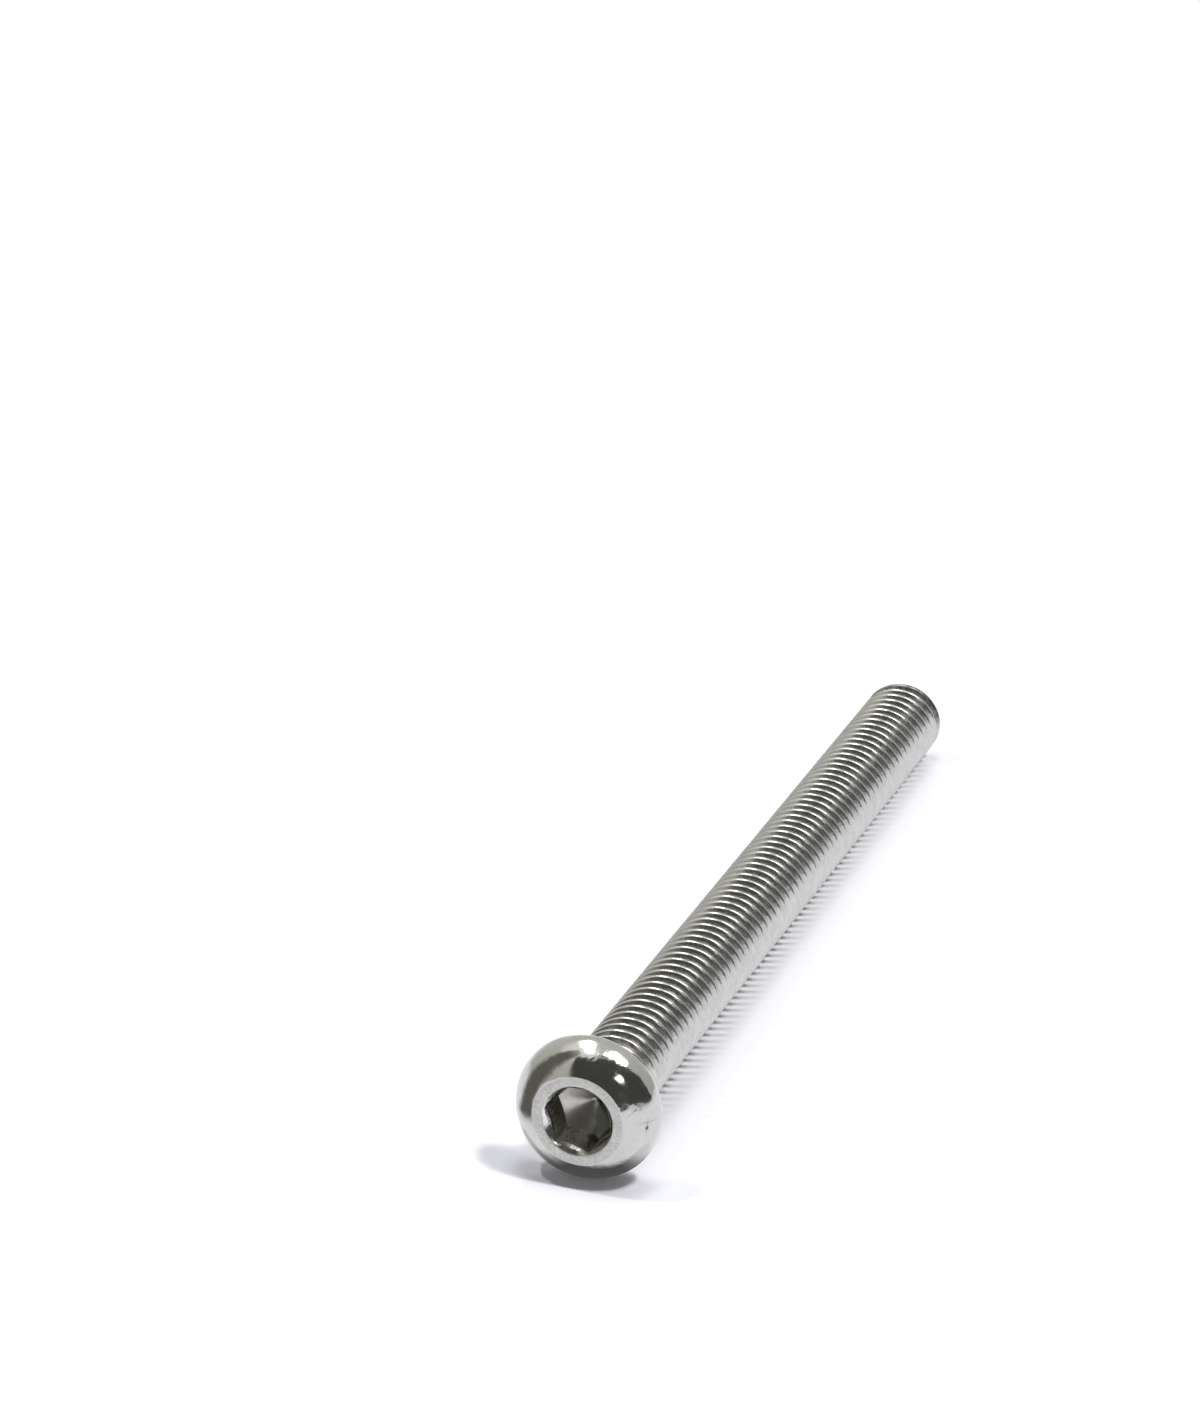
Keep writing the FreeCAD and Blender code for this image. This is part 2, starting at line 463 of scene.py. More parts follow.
class Wire:
    """A socket in a node tree. Arithmetic on it adds Math nodes."""

    def __init__(self, nodes, socket):
        self.nodes = nodes
        self.socket = socket

    def maths(self, operation, *values):
        return self.nodes.add("ShaderNodeMath", {"operation": operation},
                              dict(enumerate((self,) + values)))

    def __add__(self, other):
        return self.maths("ADD", other)

    __radd__ = __add__

    def __sub__(self, other):
        return self.maths("SUBTRACT", other)

    def __rsub__(self, other):
        return self.maths("MULTIPLY_ADD", -1.0, other)

    def __mul__(self, other):
        return self.maths("MULTIPLY", other)

    __rmul__ = __mul__

    def step(self, low, high, start=0.0, end=1.0):
        """start below low, end above high and a smooth change between them."""
        return self.nodes.add("ShaderNodeMapRange", {"interpolation_type": "SMOOTHSTEP"},
                              {"Value": self, "From Min": low, "From Max": high,
                               "To Min": start, "To Max": end})

    def fall(self, low, high):
        """1 below low, 0 above high and a smooth change between them."""
        return self.step(low, high, 1.0, 0.0)

    def spread(self, start=0.0, end=1.0):
        """A noise's usual span, 0.3 to 0.7, spread smoothly from start to end."""
        return self.step(0.3, 0.7, start, end)

    def bump_about(self, middle, width):
        """1 at middle, falling smoothly to 0 at width away from it."""
        return (self - middle).maths("ABSOLUTE").fall(0.0, width)


SEEING_RAYS = ("Is Camera Ray", "Is Glossy Ray", "Is Transmission Ray")


class Nodes:
    """The nodes of one material or world."""

    def __init__(self, tree):
        self.tree = tree
        tree.nodes.clear()

    def add(self, kind, settings=None, values=None, output=0):
        """A node of that kind: its settings are set first, then its sockets get values or
        links. Gives the wire of one of its outputs."""
        node = self.tree.nodes.new(kind)
        for name, value in (settings or {}).items():
            setattr(node, name, value)
        for name, value in (values or {}).items():
            if isinstance(value, Wire):
                self.tree.links.new(value.socket, node.inputs[name])
            else:
                node.inputs[name].default_value = value
        return Wire(self, node.outputs[output]) if len(node.outputs) else None

    def vector(self, operation, *values, output=0):
        return self.add("ShaderNodeVectorMath", {"operation": operation},
                        dict(enumerate(values)), output)

    def blend(self, factor, first, second):
        """A colour between two colours."""
        return self.add("ShaderNodeMix", {"data_type": "RGBA"},
                        {0: factor, 6: first, 7: second}, 2)

    def noise(self, where, scale, detail):
        """A noise of scale waves for each unit of where, with detail finer layers in it."""
        return self.add("ShaderNodeTexNoise", None,
                        {"Vector": where, "Scale": scale, "Detail": detail})

    def object_place(self):
        return self.add("ShaderNodeTexCoord", output="Object")

    def parts_of(self, vector):
        """The three numbers of a vector."""
        split = self.add("ShaderNodeSeparateXYZ", None, {0: vector})
        return [Wire(self, socket) for socket in split.socket.node.outputs]

    def seen_directly(self):
        """1 for what the camera and mirrors see, also past a clear face, and 0 for the light
        that falls on the floor."""
        outputs = self.add("ShaderNodeLightPath").socket.node.outputs
        camera, glossy, clear = (Wire(self, outputs[name]) for name in SEEING_RAYS)
        return (camera + glossy + clear).maths("MINIMUM", 1.0)

    def plain(self, kind, tone):
        """A light of one tone, which is a colour and a strength."""
        colour, strength = tone
        return self.add(kind, None, {"Color": tinted(colour, 1.0), "Strength": strength})

    def mix_shader(self, factor, first, second):
        return self.add("ShaderNodeMixShader", None, {0: factor, 1: first, 2: second})

    def show(self, surface, output="ShaderNodeOutputMaterial"):
        """Joins a surface to the output of the material or world."""
        self.add(output, None, {"Surface": surface})


def new_material(name):
    """A new material and its nodes."""
    material = bpy.data.materials.new(name)
    material.use_nodes = True
    return material, Nodes(material.node_tree)


def steel_nodes(name):
    """A new steel material, its nodes and the place on the screw in millimetres, along and
    across its own axis from the middle of the bearing face."""
    material, nodes = new_material(name)
    place = nodes.add("ShaderNodeMapping", {"vector_type": "TEXTURE"},
                      {"Vector": nodes.object_place(), "Location": tuple(bearing_middle()),
                       "Rotation": (0.0, TILT, 0.0), "Scale": (MILLIMETRE,) * 3})
    return material, nodes, place


def finish_steel(nodes, colour, roughness, height, relief):
    """Joins colour, roughness and a bump of height times relief, which is in millimetres, to a
    metal surface and the material's output."""
    bump = nodes.add("ShaderNodeBump", None,
                     {"Height": height, "Distance": relief * MILLIMETRE, "Strength": 1.0})
    nodes.show(nodes.add("ShaderNodeBsdfPrincipled", None,
                         {"Base Color": colour, "Roughness": roughness, "Metallic": 1.0,
                          "Normal": bump}))


# Marks on the steel, in millimetres on the screw's own axes. The nick on the dome and the ways
# that its scratches run
NICK_PLACE = (-2.27, -4.48, -0.07)
NICK_ALONG = (0.0, 0.0, 1.0)
NICK_ACROSS = (0.77, -0.62, -0.14)
SCRATCH_WIDTH = 0.10
NICK_RADII = (0.06, 0.20)
# In the socket: where its walls give way to its bottom, and the painted shade on one side of both
SOCKET_BOTTOM = (-0.80, -0.62)
PAINTED_SHADE_EDGE = (-0.15, 0.40)
WALL_PAINTED_SHADE = (0.46, 0.46, 0.40)
BOTTOM_PAINTED_SHADE = (0.10, 0.125, 0.10)
# On the thread: where its dark last turn sets in, and how far from the axis its crests begin
LAST_TURN_ALONG = (69.0, 69.8)
LAST_TURN_UP = (-0.6, 1.4)
CREST_FROM = (2.60, 2.86)
# Waves of the noise for each millimetre along and across the screw's axis
WALL_LINES = (0.8, 7.0, 7.0)
ROLLED_LINES = (5.0, 1.0, 1.0)
# Least and greatest roughness of the surfaces whose gloss isn't set by SteelFinish
BEVEL_GLOSS = (0.12, 0.24)
WALL_GLOSS = (0.24, 0.32)
UNDER_GLOSS = (0.24, 0.30)
CUT_GLOSS = (0.36, 0.50)


def bright_steel(finish):
    """Polished steel: a faint ripple bends what it reflects, with rougher worn patches and a
    nick with two short scratches low on one side."""
    material, nodes, place = steel_nodes("bright_steel")
    ripple = nodes.noise(place, 1.6, 1.0)
    grain = nodes.noise(place, 5.0, 2.0)
    haze = nodes.noise(place, 3.0, 3.0)
    worn = nodes.noise(place, 0.8, 2.0).step(0.46, 0.62)
    off_nick = nodes.vector("SUBTRACT", place, NICK_PLACE)
    pit = nodes.vector("LENGTH", off_nick, output=1).fall(*NICK_RADII)
    wander = nodes.noise(place, 4.0, 2.0) * 0.12 - 0.06
    along, across = (nodes.vector("DOT_PRODUCT", off_nick, way, output=1)
                     for way in (NICK_ALONG, NICK_ACROSS))
    scratches = (
        (across + wander * 0.4).bump_about(0.0, SCRATCH_WIDTH) * along.bump_about(0.15, 0.8)
        + (along + wander * 1.6).bump_about(0.38, SCRATCH_WIDTH) * across.bump_about(0.1, 1.1))
    marks = (pit + scratches * 0.45).maths("MINIMUM", 1.0)
    tone = nodes.blend(haze.step(0.35, 0.7), tinted(finish.bright, 0.97),
                       tinted(finish.bright, 1.03))
    tone = nodes.blend(marks, tone, tinted(finish.bright, 0.25))
    roughness = haze.step(0.3, 0.75, finish.polish, finish.polish + 0.05) + worn * 0.03
    height = ripple * 0.25 + grain * (worn * 0.50 + 0.04) - marks * 0.8
    finish_steel(nodes, tone, roughness, height, relief=0.020)
    return material


def dull_steel(finish):
    """The flat ring: pressed flat and dull, with fine specks and a few shallow dents."""
    material, nodes, place = steel_nodes("dull_steel")
    specks = nodes.noise(place, 5.0, 3.0)
    clouds = nodes.noise(place, 1.4, 2.0)
    tone = nodes.blend((specks * 0.7 + clouds * 0.3).spread(), tinted(finish.dull, 0.80),
                       tinted(finish.dull, 1.14))
    roughness = finish.ring_roughness + specks * 0.1 - 0.05
    finish_steel(nodes, tone, roughness, specks + clouds, relief=0.006)
    return material


def bevel_steel(finish):
    """The countersink at the mouth: bright, with the uneven burr that its punch left."""
    material, nodes, place = steel_nodes("bevel_steel")
    marks = nodes.noise(place, 3.6, 2.0)
    stain = nodes.noise(place, 2.6, 3.0).step(0.52, 0.66)
    tone = nodes.blend(stain, tinted(finish.bright, 1.25), tinted(finish.pressed, 0.80))
    finish_steel(nodes, tone, marks.spread(*BEVEL_GLOSS), marks, relief=0.018)
    return material


def pressed_steel(finish):
    """Walls and bottom of the socket: fine lines along the walls and a slightly brown tone that
    deepens in patches, with greenish painted shade on one side, darkest at the bottom."""
    material, nodes, place = steel_nodes("pressed_steel")
    along, side, _ = nodes.parts_of(place)
    bottom = along.step(*SOCKET_BOTTOM)
    lines = nodes.noise(nodes.vector("MULTIPLY", place, WALL_LINES), 1.0, 2.0)
    lines = (lines - 0.5) * (1.0 - bottom) + 0.5
    clouds = nodes.noise(place, 1.1, 2.0)
    tone = nodes.blend((lines * 0.4 + clouds * 0.6).step(0.35, 0.65),
                       tinted(finish.pressed, 0.86), tinted(finish.pressed, 1.08))
    # Painted shade: one side of the walls and bottom is darkened and tinted green, most at the
    # bottom
    painted_shade = (side + clouds * 0.5).fall(*PAINTED_SHADE_EDGE)
    painted_shade_tone = nodes.blend(bottom, tinted(finish.pressed, WALL_PAINTED_SHADE),
                          tinted(finish.pressed, BOTTOM_PAINTED_SHADE))
    tone = nodes.blend(painted_shade * 0.9, tone, painted_shade_tone)
    finish_steel(nodes, tone, lines.spread(*WALL_GLOSS), lines * 0.15 + clouds, relief=0.004)
    return material


def under_steel(finish):
    """Bearing face and hollow under the head: dull steel with faint specks."""
    material, nodes, place = steel_nodes("under_steel")
    specks = nodes.noise(place, 4.0, 2.0)
    tone = nodes.blend(specks.spread(), tinted(finish.dull, 0.90), tinted(finish.dull, 1.0))
    finish_steel(nodes, tone, specks.spread(*UNDER_GLOSS), specks, relief=0.003)
    return material


def rolled_steel(finish):
    """Thread and neck: drawn along the turns by the rolling dies, with polished crests, rougher
    flanks and small dents. The last turn at the tip is darker and rougher on its upper side."""
    material, nodes, place = steel_nodes("rolled_steel")
    along, _, up = nodes.parts_of(place)
    flow = nodes.noise(nodes.vector("MULTIPLY", place, ROLLED_LINES), 1.0, 2.0)
    dents = nodes.noise(place, 2.2, 2.0)
    tone = nodes.blend(flow.spread(), tinted(finish.rolled, 0.94), tinted(finish.rolled, 1.05))
    last_turn = ((along + dents * 1.4).step(*LAST_TURN_ALONG) * up.step(*LAST_TURN_UP)
                 * flow.step(0.25, 0.60, 0.65, 1.0))
    tone = nodes.blend(last_turn, tone, tinted(finish.rolled, 0.14))
    off_axis = nodes.vector("LENGTH", nodes.vector("MULTIPLY", place, (0.0, 1.0, 1.0)), output=1)
    roughness = (off_axis.step(*CREST_FROM, finish.flank_roughness, finish.thread_roughness)
                 + dents.step(0.3, 0.75, 0.0, 0.05) + last_turn * 0.25)
    finish_steel(nodes, tone, roughness, flow * 0.5 + dents, relief=0.016)
    return material


def cut_steel(finish):
    """The sheared end face: dull and uneven."""
    material, nodes, place = steel_nodes("cut_steel")
    specks = nodes.noise(place, 6.0, 4.0)
    clouds = nodes.noise(place, 0.9, 2.0)
    tone = nodes.blend((specks * 0.5 + clouds * 0.5).spread(), tinted(finish.dull, 0.55),
                       tinted(finish.dull, 0.95))
    finish_steel(nodes, tone, specks.spread(*CUT_GLOSS), specks + clouds, relief=0.030)
    return material


# The finishes and what makes each one's material
FINISHES = {
    "pressed": pressed_steel,
    "bevel": bevel_steel,
    "dull": dull_steel,
    "bright": bright_steel,
    "under": under_steel,
    "rolled": rolled_steel,
    "cut": cut_steel,
}


class SCREW_OT_make_screw(bpy.types.Operator):
    """Make the screw in one closed piece and give each of its surfaces its finish"""
    bl_idname = "screw.make_screw"
    bl_label = "Make the screw"

    def execute(self, context):
        sizes, finish = context.scene.screw_sizes, context.scene.steel_finish
        points, triangles, zones, normals = screw_surface(sizes)
        if len(triangles) >= MOST_TRIANGLES:
            raise RuntimeError("the screw has too many triangles")
        turn = axes_of_screw()
        piece = new_mesh_object("screw", points @ turn.T + bearing_middle(), triangles,
                                [make(finish) for make in FINISHES.values()], zones)
        piece.data.polygons.foreach_set("use_smooth", np.ones(len(triangles), bool))
        piece.data.normals_split_custom_set_from_vertices(normals @ turn.T)
        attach(piece, BODY)
        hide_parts(NODE)
        return {"FINISHED"}


# The camera looks at this point of the floor. Its lens and sensor are in millimetres
CAMERA_TARGET = Vector((0.035851, 0.023991, 0.0))
CAMERA_LENS = 160.7736
SENSOR_WIDTH = 36.0
# The stage's panels are placed from the camera's side: to its right, away from it, and up
PICTURE_RIGHT = np.array([0.3286, -0.9445, 0.0])
PICTURE_AWAY = np.array([0.9445, 0.3286, 0.0])
UPWARD = np.array([0.0, 0.0, 1.0])
# Tones of the stage: a colour and a strength, where a strength of 1 is white
WHITE = ((1.0, 1.0, 1.0), 1.0)
DARK = ((0.98, 1.0, 0.95), 0.072)
HAZE = ((0.90, 1.0, 0.88), 0.15)
SHADE = ((0.95, 0.97, 1.0), 0.12)
STRIP = ((1.0, 0.93, 0.85), 0.16)
OVERHEAD = ((1.0, 0.99, 0.97), 8.0)
BRIGHT = ((1.0, 1.0, 1.0), 2.6)
SOFT_WORLD = ((0.70, 0.80, 1.0), 0.10)
# Heights of the stage in metres: sheets that lie just over the floor, and the lamps overhead
SHEET = 0.0002
UPPER_SHEET = 0.0003
CEILING = 0.400
# Share of a panel over which a sharp edge fades
SHARP = 0.001
# Each panel has its name, the points of its lower and of its upper edge on the stage, its tone,
# and the shares of its width and height over which its left, right, lower and upper edges fade.
# The first is the dark opening in front, from the left round to the right.
PANELS = [
    ("front_opening",
     [(-0.330, -0.390, 0.0), (0.100, -0.480, 0.0), (0.270, -0.400, 0.012),
      (0.420, -0.220, 0.030), (0.500, 0.025, 0.0)],
     [(-0.235, -0.075, 0.440), (-0.100, -0.100, 0.430), (0.055, -0.030, 0.430),
      (0.140, -0.045, 0.430), (0.330, 0.000, 0.430)],
     DARK, (SHARP, SHARP, SHARP, 0.13)),
    ("front_table",
     [(-0.330, -0.390, SHEET), (0.180, -0.480, SHEET)],
     [(-0.030, -0.035, SHEET), (0.001, -0.0305, SHEET)],
     DARK, (SHARP, SHARP, SHARP, SHARP)),
    ("front_haze",
     [(-0.020, -0.420, 0.020), (0.230, -0.340, 0.020)],
     [(-0.010, -0.330, 0.330), (0.200, -0.270, 0.330)],
     HAZE, (0.5, 0.5, 0.5, 0.5)),
    ("shade_under_head",
     [(-0.0045, -0.0020, SHEET), (0.0060, -0.0020, SHEET)],
     [(-0.0045, 0.0030, SHEET), (0.0070, 0.0030, SHEET)],
     SHADE, (0.30, 0.30, 0.25, 0.05)),
    ("dark_strip",
     [(-0.0175, -0.0090, 0.0), (-0.0175, 0.0105, 0.0)],
     [(-0.0175, -0.0080, 0.070), (-0.0175, 0.0110, 0.070)],
     STRIP, (0.30, 0.30, SHARP, 0.6)),
    ("dark_strip_foot",
     [(-0.0175, -0.0090, UPPER_SHEET), (-0.0175, 0.0105, UPPER_SHEET)],
     [(-0.0080, -0.0080, UPPER_SHEET), (-0.0080, 0.0105, UPPER_SHEET)],
     STRIP, (0.30, 0.30, SHARP, 0.5)),
    ("overhead_far",
     [(-0.110, -0.020, CEILING), (-0.040, -0.010, CEILING)],
     [(-0.150, 0.380, CEILING), (0.018, 0.380, CEILING)],
     OVERHEAD, (0.35, 0.06, 0.05, 0.20)),
    ("overhead_near",
     [(0.034, -0.020, CEILING), (0.300, -0.055, CEILING)],
     [(0.200, 0.220, CEILING), (0.350, 0.130, CEILING)],
     OVERHEAD, (0.10, 0.12, 0.05, 0.15)),
]
PANEL_COLUMNS = 24
PANEL_ROWS = 12
# The round lamp that mirrors see
DISC_PLACE = (0.108, -0.226, 0.231)
DISC_RADIUS = 0.060
DISC_SIDES = 48
# Lamps for the floor: name, place on the stage, side of the square and power in watts. They all
# look at one point of the stage
LAMPS = [
    ("lamp_right", (0.228, -0.132, 0.539), 0.08, 2.15),
    ("lamp_top", (0.02, 0.03, 0.60), 0.20, 1.15),
    ("lamp_left", (-0.238, 0.055, 0.550), 0.02, 0.80),
    ("lamp_back", (0.119, 0.444, 0.386), 0.20, 0.60),
]
LAMP_AIM = (0.02, 0.03, 0.0)
LAMP_TINT = (0.95, 0.95, 1.0)
# The tent round the stage: its light on the left and on the right, seen from a point over the
# floor, and how much some parts of it gain or lose
TENT_RADIUS = 0.9
TENT_COLUMNS = 49
TENT_ROWS = 13
TENT_VIEWPOINT = (0.0, 0.0, 0.005)
TENT_LEFT = (0.99, 1.0, 0.94)
TENT_RIGHT = (1.0, 0.985, 0.975)
TENT_STRENGTH = 0.70
CEILING_GAIN = 0.40
BACK_GAIN = 1.0
SIDE_LOSS = 0.12
# The floor's half width, its points from side to side, and how far out it turns plain white
FLOOR_REACH = 3.0
FLOOR_POINTS = 13
WHITE_FROM = (0.07, 0.13)
# The dashes of painted light and shade on the floor beside the shank: where they begin and end, in
# metres
DASHES_START = (-0.034, -0.016)
DASHES_END = (0.034, 0.037)
DASH_FOOT = (-0.0005, 0.0)
DARK_DASH_END = (-0.0027, -0.0012)
LIGHT_DASH_END = (-0.0045, -0.0020)
# Brightness of the darkest dash against the floor, and the greatest share that each kind takes
DARK_DASH_TONE = 0.3
DARK_DASH_SHARE = 0.4
LIGHT_DASH_SHARE = 0.35


def stage_point(right, away, up):
    """A point of the stage, measured in metres from the floor under the mouth of the socket."""
    foot = MOUTH * np.array([1.0, 1.0, 0.0])
    return foot + right * PICTURE_RIGHT + away * PICTURE_AWAY + up * UPWARD


def stage_points(rows):
    return np.array([stage_point(*values) for values in rows])


def ruled_patch(bottom, top, across, upward):
    """A grid between two bent edges: straight lines join points at equal shares of both."""
    share_across = np.linspace(0.0, 1.0, across)
    knots = np.linspace(0.0, 1.0, len(bottom))
    low = np.stack([np.interp(share_across, knots, bottom[:, k]) for k in range(3)], axis=1)
    high = np.stack([np.interp(share_across, knots, top[:, k]) for k in range(3)], axis=1)
    share_up = np.linspace(0.0, 1.0, upward)[:, None, None]
    return low[None] * (1 - share_up) + high[None] * share_up


def grid_faces(rows, columns):
    number = np.arange(rows * columns).reshape(rows, columns)
    return np.stack([number[:-1, :-1], number[:-1, 1:], number[1:, 1:], number[1:, :-1]],
                    -1).reshape(-1, 4)


def panel_material(name, tone, edges):
    """Even light or dark that thins out towards the panel's edges."""
    material, nodes = new_material(name)
    left, right, low, high = edges
    across, up, _ = nodes.parts_of(nodes.add("ShaderNodeUVMap", {"uv_map": "panel"}))
    inside = (across.step(0.0, left) * across.fall(1 - right, 1.0)
              * up.step(0.0, low) * up.fall(1 - high, 1.0))
    clear = nodes.add("ShaderNodeBsdfTransparent")
    nodes.show(nodes.mix_shader(inside, clear, nodes.plain("ShaderNodeEmission", tone)))
    return material


def make_panel(name, bottom, top, tone, edges):
    """A panel that only mirrors see, between two edges given as points of the stage."""
    points = ruled_patch(stage_points(bottom), stage_points(top), PANEL_COLUMNS, PANEL_ROWS)
    panel = new_mesh_object(name, points.reshape(-1, 3), grid_faces(PANEL_ROWS, PANEL_COLUMNS),
                            [panel_material(name, tone, edges)])
    layer = panel.data.uv_layers.new(name="panel")
    u, v = np.meshgrid(np.linspace(0, 1, PANEL_COLUMNS), np.linspace(0, 1, PANEL_ROWS))
    spots = np.column_stack([u.ravel(), v.ravel()])
    corners = np.zeros(len(panel.data.loops), np.int32)
    panel.data.loops.foreach_get("vertex_index", corners)
    layer.data.foreach_set("uv", spots[corners].astype(np.float32).ravel())
    only_for_mirrors(panel)


def tent_material():
    """The tent's own light: pale all round, brighter overhead on the left and low at the back,
    and darker low on both sides."""
    material, nodes = new_material("tent")
    heading = math.atan2(PICTURE_RIGHT[1], PICTURE_RIGHT[0])
    place = nodes.add("ShaderNodeMapping", {"vector_type": "TEXTURE"},
                      {"Vector": nodes.object_place(),
                       "Location": tuple(stage_point(*TENT_VIEWPOINT)),
                       "Rotation": (0.0, 0.0, heading)})
    right, away, up = nodes.parts_of(nodes.vector("NORMALIZE", place))
    ceiling = up.step(0.60, 0.90) * right.fall(-0.10, 0.15)
    back = away.step(0.93, 0.99) * right.step(-0.40, -0.05) * right.fall(-0.05, 0.10)
    sides = (right.step(0.45, 0.95) + right.fall(-0.95, -0.45)) * up.fall(0.65, 0.85)
    strength = ceiling * CEILING_GAIN + back * BACK_GAIN - sides * SIDE_LOSS + TENT_STRENGTH
    tint = nodes.blend(right.step(-0.3, 0.6), tinted(TENT_LEFT, 1.0), tinted(TENT_RIGHT, 1.0))
    light = nodes.vector("MULTIPLY", tint, strength)
    nodes.show(nodes.add("ShaderNodeEmission", None, {"Color": light, "Strength": 1.0}))
    return material


def make_tent():
    """A pale round tent that only mirrors see: half a globe over the whole stage."""
    around = np.linspace(0.0, 2 * math.pi, TENT_COLUMNS)[None, :]
    up = np.linspace(0.0, math.pi / 2, TENT_ROWS)[:, None]
    shape = np.broadcast(around, up).shape
    points = TENT_RADIUS * np.stack([np.cos(around) * np.cos(up), np.sin(around) * np.cos(up),
                                     np.broadcast_to(np.sin(up), shape)], axis=-1)
    tent = new_mesh_object("tent", points.reshape(-1, 3), grid_faces(TENT_ROWS, TENT_COLUMNS),
                           [tent_material()])
    only_for_mirrors(tent)


def only_for_mirrors(thing):
    """Hides a part of the stage from the camera and from the floor's light."""
    thing.visible_camera = False
    thing.visible_diffuse = False
    thing.visible_shadow = False
    thing.visible_transmission = False


def make_disc(name, centre, radius, tone):
    """A round lamp face that looks at the mouth of the socket."""
    middle = stage_point(*centre)
    facing = Vector(MOUTH - middle).normalized()
    turn = np.array(facing.to_track_quat("Z", "Y").to_matrix())
    around = np.linspace(0, 2 * math.pi, DISC_SIDES, endpoint=False)
    rim = np.column_stack([np.cos(around), np.sin(around), np.zeros(DISC_SIDES)]) * radius
    points = np.concatenate([rim, np.zeros((1, 3))]) @ turn.T + middle
    corner = np.arange(DISC_SIDES)
    faces = np.column_stack([corner, (corner + 1) % DISC_SIDES, np.full(DISC_SIDES, DISC_SIDES)])
    material, nodes = new_material(name)
    nodes.show(nodes.plain("ShaderNodeEmission", tone))
    only_for_mirrors(new_mesh_object(name, points, faces, [material]))


def thread_glints(nodes, place):
    """How dark and how light the floor is painted beside the shank, where a thread throws light
    back on it: one short dark dash and one light one for each crest, from the shank's foot to
    the right of the picture."""
    pitch = bpy.context.scene.screw_sizes.pitch
    along, side, _ = nodes.parts_of(place)
    slant = -PICTURE_RIGHT[0] / PICTURE_RIGHT[1]
    turns = (along + side * slant) * (2 * math.pi / pitch)
    wander = nodes.noise(place, 400.0, 1.0).spread(0.4, 1.0)
    ends = side.fall(*DASH_FOOT) * along.step(*DASHES_START) * along.fall(*DASHES_END)
    wave = turns.maths("COSINE") * 0.5 + 0.5
    return (wave * wander * side.step(*DARK_DASH_END) * ends,
            (1.0 - wave) * side.step(*LIGHT_DASH_END) * ends)


def make_floor(settings):
    """A wide pale floor with the thread's dashes of painted light and shade on it. A small share
    of plain white joins its own colour for the camera and for mirrors, and the shadow stays. Well
    away from the screw the floor is plain white. From below it lets the camera through."""
    material, nodes = new_material("pale_floor")
    place = nodes.object_place()
    dark, light = thread_glints(nodes, place)
    bare, dashed = (nodes.add("ShaderNodeBsdfDiffuse", None,
                              {"Color": tinted(settings.floor_colour, factor)})
                    for factor in (1.0, DARK_DASH_TONE))
    # Painted shade: the dark dashes darken the floor's own colour beside the shank
    own = nodes.mix_shader(dark * DARK_DASH_SHARE, bare, dashed)
    off_middle = nodes.vector("LENGTH", place, output=1)
    # Plain white far from the screw, and painted light where the light dashes lie beside the shank
    white_share = (off_middle.step(*WHITE_FROM, settings.glow_share, 1.0)
                   + light * LIGHT_DASH_SHARE)
    pale = nodes.mix_shader(nodes.seen_directly() * white_share, own,
                            nodes.plain("ShaderNodeEmission", WHITE))
    below = nodes.add("ShaderNodeNewGeometry", output="Backfacing")
    clear = nodes.add("ShaderNodeBsdfTransparent")
    nodes.show(nodes.mix_shader(below, pale, clear))
    side = np.linspace(-FLOOR_REACH, FLOOR_REACH, FLOOR_POINTS)
    x, y = np.meshgrid(side, side)
    points = np.column_stack([x.ravel(), y.ravel(), np.zeros(x.size)])
    floor = new_mesh_object("floor", points, grid_faces(FLOOR_POINTS, FLOOR_POINTS), [material])


def placed_facing(middle, away):
    """Matrix of a lamp or camera at middle whose back looks along away."""
    return Matrix.Translation(middle) @ away.to_track_quat("Z", "Y").to_matrix().to_4x4()


def make_lamp(name, centre, side, watts):
    """A soft square lamp for the floor's shadow. The panels stand for it in mirrors."""
    data = bpy.data.lights.new(name, "AREA")
    data.shape = "SQUARE"
    data.size = side
    data.energy = watts
    data.color = LAMP_TINT
    lamp = new_object(name, data)
    middle = Vector(stage_point(*centre))
    lamp.matrix_world = placed_facing(middle, middle - Vector(stage_point(*LAMP_AIM)))
    lamp.visible_glossy = False
    lamp.visible_camera = False


def make_world():
    """White for the camera and for mirrors, and a faint cool light for the floor."""
    world = bpy.data.worlds.new("studio")
    bpy.context.scene.world = world
    world.use_nodes = True
    nodes = Nodes(world.node_tree)
    soft, white = (nodes.plain("ShaderNodeBackground", tone) for tone in (SOFT_WORLD, WHITE))
    nodes.show(nodes.mix_shader(nodes.seen_directly(), soft, white), "ShaderNodeOutputWorld")


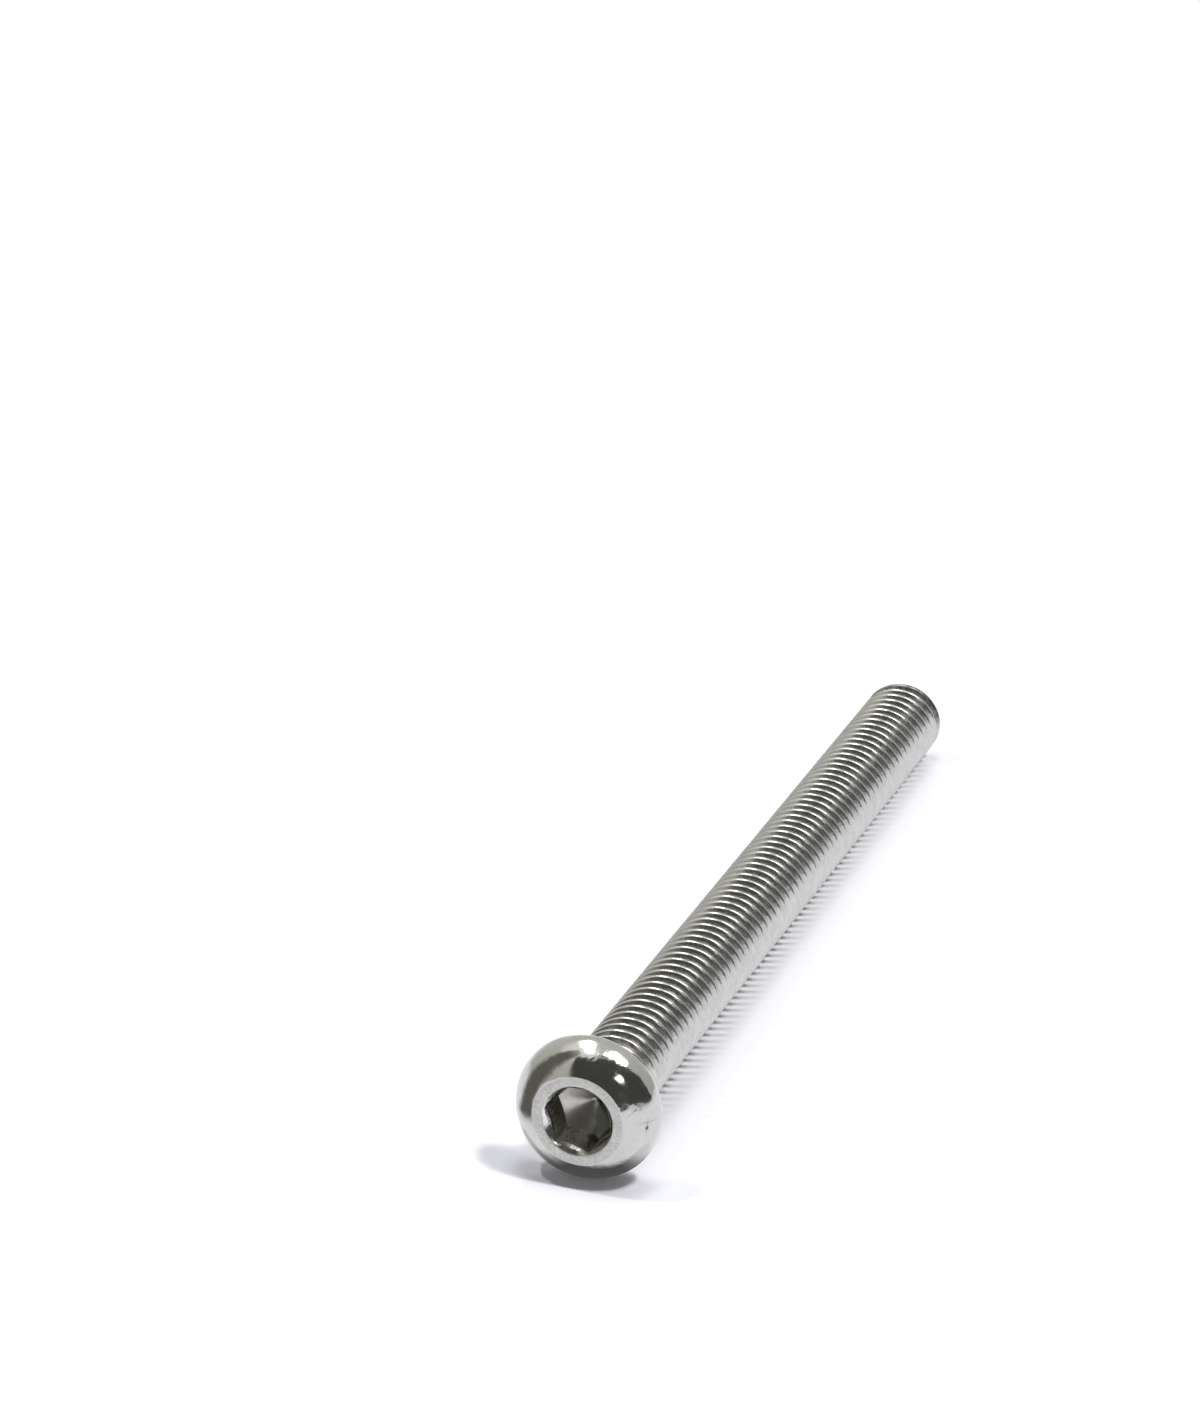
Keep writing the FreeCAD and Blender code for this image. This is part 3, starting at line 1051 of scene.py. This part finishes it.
def make_camera(settings):
    data = bpy.data.cameras.new("camera")
    data.sensor_fit = "AUTO"
    data.sensor_width = SENSOR_WIDTH
    data.lens = CAMERA_LENS
    camera = new_object("camera", data)
    azimuth, elevation = settings.camera_azimuth, settings.camera_elevation
    back = Vector((math.sin(azimuth) * math.cos(elevation),
                   -math.cos(azimuth) * math.cos(elevation), math.sin(elevation)))
    camera.matrix_world = (placed_facing(CAMERA_TARGET + back * settings.camera_distance, back)
                           @ Matrix.Rotation(settings.camera_roll, 4, "Z"))
    bpy.context.scene.camera = camera


class SCREW_OT_make_stage(bpy.types.Operator):
    """Make the camera, the world, the floor, the lamps and what the steel mirrors"""
    bl_idname = "screw.make_stage"
    bl_label = "Make the stage"

    def execute(self, context):
        settings = context.scene.stage_settings
        make_camera(settings)
        make_world()
        make_floor(settings)
        make_tent()
        for panel in PANELS:
            make_panel(*panel)
        make_disc("round_lamp", DISC_PLACE, DISC_RADIUS, BRIGHT)
        for lamp in LAMPS:
            make_lamp(*lamp)
        context.scene.view_settings.view_transform = "Standard"
        return {"FINISHED"}


class SCREW_PT_panel(bpy.types.Panel):
    bl_label = "Button head screw"
    bl_idname = "SCREW_PT_panel"
    bl_space_type = "VIEW_3D"
    bl_region_type = "UI"
    bl_category = "Screw"

    def draw(self, context):
        layout = self.layout
        for group in (context.scene.screw_sizes, context.scene.steel_finish,
                      context.scene.stage_settings):
            box = layout.box()
            for name in type(group).__annotations__:
                box.prop(group, name)
        for operator in OPERATORS:
            layout.operator(operator.bl_idname)


OPERATORS = (SCREW_OT_make_screw, SCREW_OT_make_stage)
CLASSES = (ScrewSizes, SteelFinish, StageSettings) + OPERATORS + (SCREW_PT_panel,)


def register():
    for cls in CLASSES:
        bpy.utils.register_class(cls)
    bpy.types.Scene.screw_sizes = PointerProperty(type=ScrewSizes)
    bpy.types.Scene.steel_finish = PointerProperty(type=SteelFinish)
    bpy.types.Scene.stage_settings = PointerProperty(type=StageSettings)


def unregister():
    del bpy.types.Scene.stage_settings
    del bpy.types.Scene.steel_finish
    del bpy.types.Scene.screw_sizes
    for cls in reversed(CLASSES):
        bpy.utils.unregister_class(cls)


def main():
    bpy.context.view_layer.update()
    register()
    bpy.ops.screw.make_screw()
    bpy.ops.screw.make_stage()


if __name__ == "__main__":
    main()
